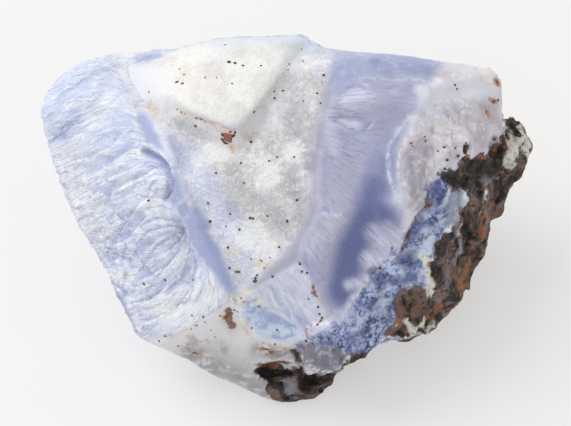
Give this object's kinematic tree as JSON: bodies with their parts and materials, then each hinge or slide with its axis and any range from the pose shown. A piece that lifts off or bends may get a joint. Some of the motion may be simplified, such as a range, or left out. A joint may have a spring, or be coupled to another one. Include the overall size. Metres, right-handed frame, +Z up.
{
  "type": "blue lace agate rough stone",
  "caption": "Rough piece of blue lace agate with a sugary white crown, lavender-blue conchoidal faces and a dark brown matrix crust.",
  "frame": {"origin": "middle of the bounding box at the level of the flat underside", "axes": "+X along the stone's width, from its blue tip to its dark matrix side; +Z up; the broad broken face looks up and towards -Y"},
  "size_m": [0.0578, 0.0348, 0.0318],
  "materials": {
    "agate": "broken natural surface, waxy on the blue faces, sugary on the white ones and rough on the matrix"
  },
  "bodies": {
    "root": {"agate_stone": "agate"}
  },
  "joints": []
}
